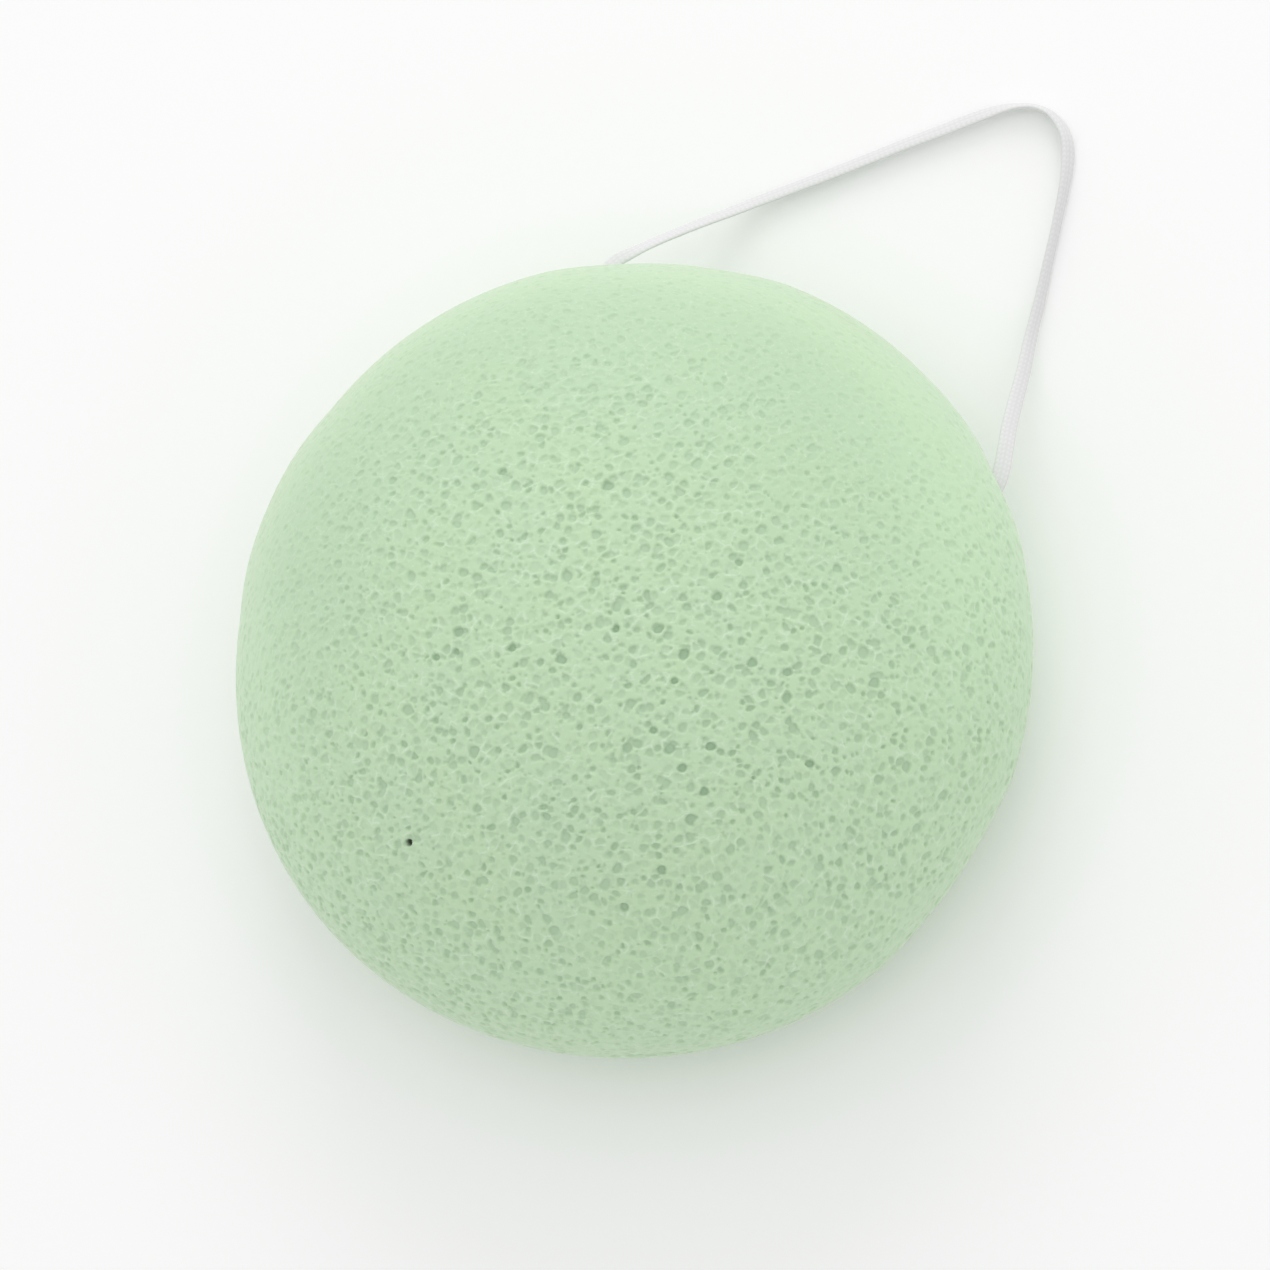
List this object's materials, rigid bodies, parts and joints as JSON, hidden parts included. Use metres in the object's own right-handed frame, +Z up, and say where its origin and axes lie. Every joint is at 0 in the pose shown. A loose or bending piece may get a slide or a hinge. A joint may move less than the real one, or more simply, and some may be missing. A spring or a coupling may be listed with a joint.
{
  "type": "konjac sponge",
  "caption": "Half-ball konjac sponge for washing the face, with a flat base and a hanging loop of soft knitted tape that is knotted inside the foam.",
  "frame": {"origin": "centre of the flat base, on the surface that the sponge stands on", "axes": "+Z up through the top of the dome, +Y from the centre towards the middle of the two mouths that the loop leaves by"},
  "size_m": [0.08, 0.11, 0.035],
  "materials": {
    "konjac_foam": "open-celled plant-fibre foam, matte, damp, pale green",
    "knitted_tape": "soft knitted tape, white, matte"
  },
  "bodies": {
    "sponge": {"sponge_body": "konjac_foam", "string_run": "knitted_tape", "string_knot": "knitted_tape"},
    "loop": {"hanging_loop": "knitted_tape"}
  },
  "joints": [
    {"name": "loop_swing", "type": "hinge", "parent": "sponge", "child": "loop", "pos_m": [0, 0.03394, 0.008], "axis": [1, 0, 0], "range_deg": [-75, 80]}
  ]
}
